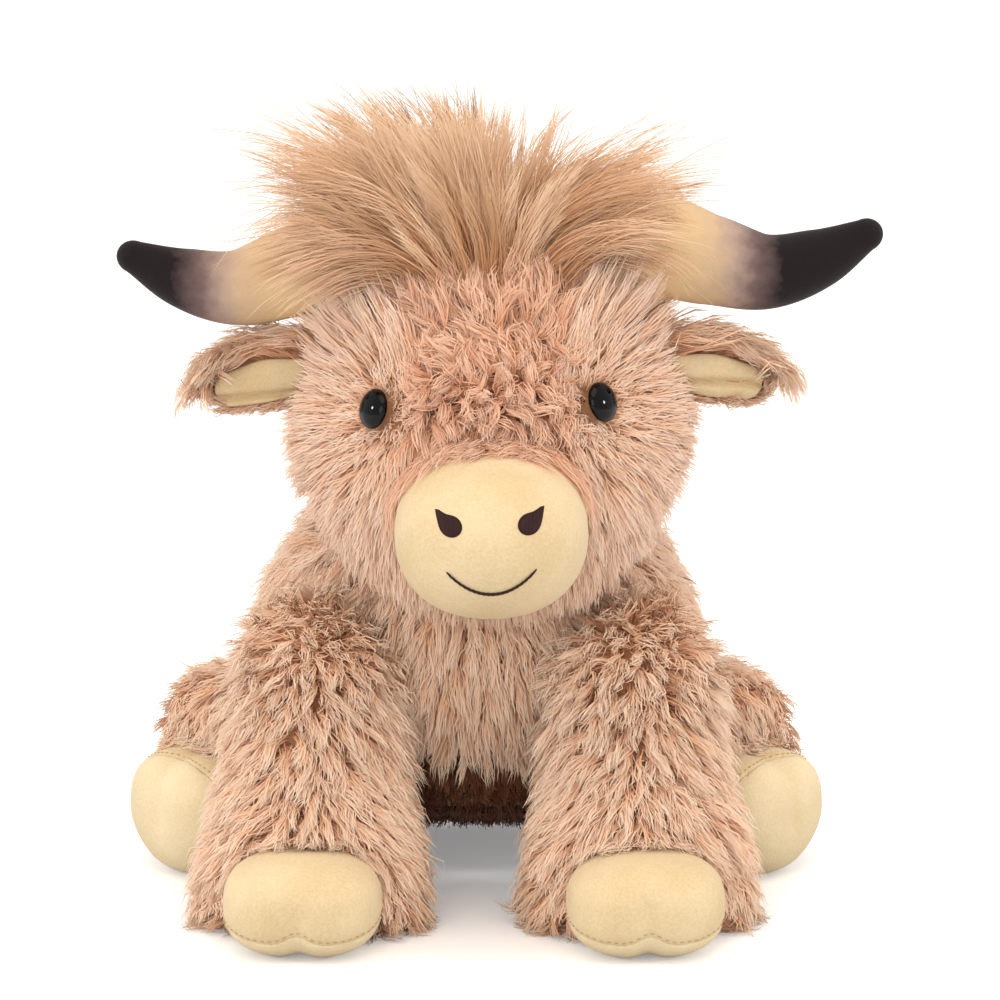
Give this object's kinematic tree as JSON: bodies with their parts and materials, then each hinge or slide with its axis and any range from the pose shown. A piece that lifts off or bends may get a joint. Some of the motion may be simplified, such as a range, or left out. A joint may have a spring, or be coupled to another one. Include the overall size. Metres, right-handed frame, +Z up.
{
  "type": "plush cow",
  "caption": "Sitting long-haired plush cow with a soft muzzle, curved stuffed horns, ears, a long forelock, jointed legs, stuffed hooves and a tufted tail.",
  "frame": {"origin": "on the floor, under the middle of the sitting toy's bounding box", "axes": "+Z up, the cow faces -Y, +X to the right as seen by someone looking at its face"},
  "size_m": [0.2995, 0.2916, 0.3114],
  "materials": {
    "fur": "long soft pile",
    "long_hair": "long straight silky pile",
    "velour": "short brushed pile",
    "sole_velour": "short brushed pile",
    "horn_velour": "short brushed pile that darkens to the tip",
    "filling": "loose polyester fibre",
    "eye_plastic": "high gloss",
    "thread": "satin embroidery thread",
    "washer_plastic": "plain"
  },
  "bodies": {
    "torso": {"torso_fur": "fur", "torso_filling": "filling"},
    "neck": {"neck_filling": "filling"},
    "head": {"head_fur": "fur", "head_filling": "filling", "muzzle": "velour", "nostril_left": "thread", "nostril_right": "thread", "mouth": "thread", "eye_left": "eye_plastic", "eye_right": "eye_plastic", "eye_washer_left": "washer_plastic", "eye_washer_right": "washer_plastic", "forelock": "long_hair"},
    "left horn": {"horn_left": "horn_velour", "horn_left_filling": "filling"},
    "right horn": {"horn_right": "horn_velour", "horn_right_filling": "filling"},
    "left ear": {"ear_left": "fur", "ear_left_lining": "velour"},
    "right ear": {"ear_right": "fur", "ear_right_lining": "velour"},
    "left front leg": {"front_leg_left": "fur", "front_leg_left_filling": "filling", "front_hoof_left": "velour", "front_sole_left": "sole_velour"},
    "right front leg": {"front_leg_right": "fur", "front_leg_right_filling": "filling", "front_hoof_right": "velour", "front_sole_right": "sole_velour"},
    "left hind leg": {"hind_leg_left": "fur", "hind_leg_left_filling": "filling", "hind_hoof_left": "velour", "hind_sole_left": "sole_velour"},
    "right hind leg": {"hind_leg_right": "fur", "hind_leg_right_filling": "filling", "hind_hoof_right": "velour", "hind_sole_right": "sole_velour"},
    "tail": {"tail": "fur", "tail_tuft": "long_hair"}
  },
  "joints": [
    {"name": "head_turn", "type": "hinge", "parent": "torso", "child": "neck", "pos_m": [-0.0018, -0.0325, 0.188], "axis": [0, 0, 1], "range_deg": [-30, 30], "stiffness_Nm_per_rad": 3},
    {"name": "head_nod", "type": "hinge", "parent": "neck", "child": "head", "pos_m": [-0.0018, -0.0325, 0.188], "axis": [1, 0, 0], "range_deg": [-15, 15], "stiffness_Nm_per_rad": 4},
    {"name": "left_horn_bend", "type": "hinge", "parent": "head", "child": "left horn", "pos_m": [-0.0376, -0.0285, 0.2449], "axis": [0, 1, 0], "range_deg": [-8, 8], "stiffness_Nm_per_rad": 1},
    {"name": "right_horn_bend", "type": "hinge", "parent": "head", "child": "right horn", "pos_m": [0.04235, -0.0285, 0.24742], "axis": [0, 1, 0], "range_deg": [-8, 8], "stiffness_Nm_per_rad": 1},
    {"name": "left_ear_flap", "type": "hinge", "parent": "head", "child": "left ear", "pos_m": [-0.07246, -0.0305, 0.20779], "axis": [0, 1, 0], "range_deg": [-20, 20], "stiffness_Nm_per_rad": 0.1},
    {"name": "right_ear_flap", "type": "hinge", "parent": "head", "child": "right ear", "pos_m": [0.06747, -0.0305, 0.21219], "axis": [0, 1, 0], "range_deg": [-20, 20], "stiffness_Nm_per_rad": 0.1},
    {"name": "left_front_leg_swing", "type": "hinge", "parent": "torso", "child": "left front leg", "pos_m": [-0.0698, -0.0465, 0.092], "axis": [1, 0, 0], "range_deg": [-30, 0], "stiffness_Nm_per_rad": 1},
    {"name": "right_front_leg_swing", "type": "hinge", "parent": "torso", "child": "right front leg", "pos_m": [0.0542, -0.0465, 0.092], "axis": [1, 0, 0], "range_deg": [-30, 0], "stiffness_Nm_per_rad": 1},
    {"name": "left_hind_leg_lift", "type": "hinge", "parent": "torso", "child": "left hind leg", "pos_m": [-0.0888, 0.0295, 0.044], "axis": [1, 0, 0], "range_deg": [-30, 0], "stiffness_Nm_per_rad": 1},
    {"name": "right_hind_leg_lift", "type": "hinge", "parent": "torso", "child": "right hind leg", "pos_m": [0.0732, 0.0295, 0.044], "axis": [1, 0, 0], "range_deg": [-30, 0], "stiffness_Nm_per_rad": 1},
    {"name": "tail_swing", "type": "hinge", "parent": "torso", "child": "tail", "pos_m": [-0.0078, 0.1125, 0.095], "axis": [0, 1, 0], "range_deg": [-35, 35], "stiffness_Nm_per_rad": 0.1}
  ]
}
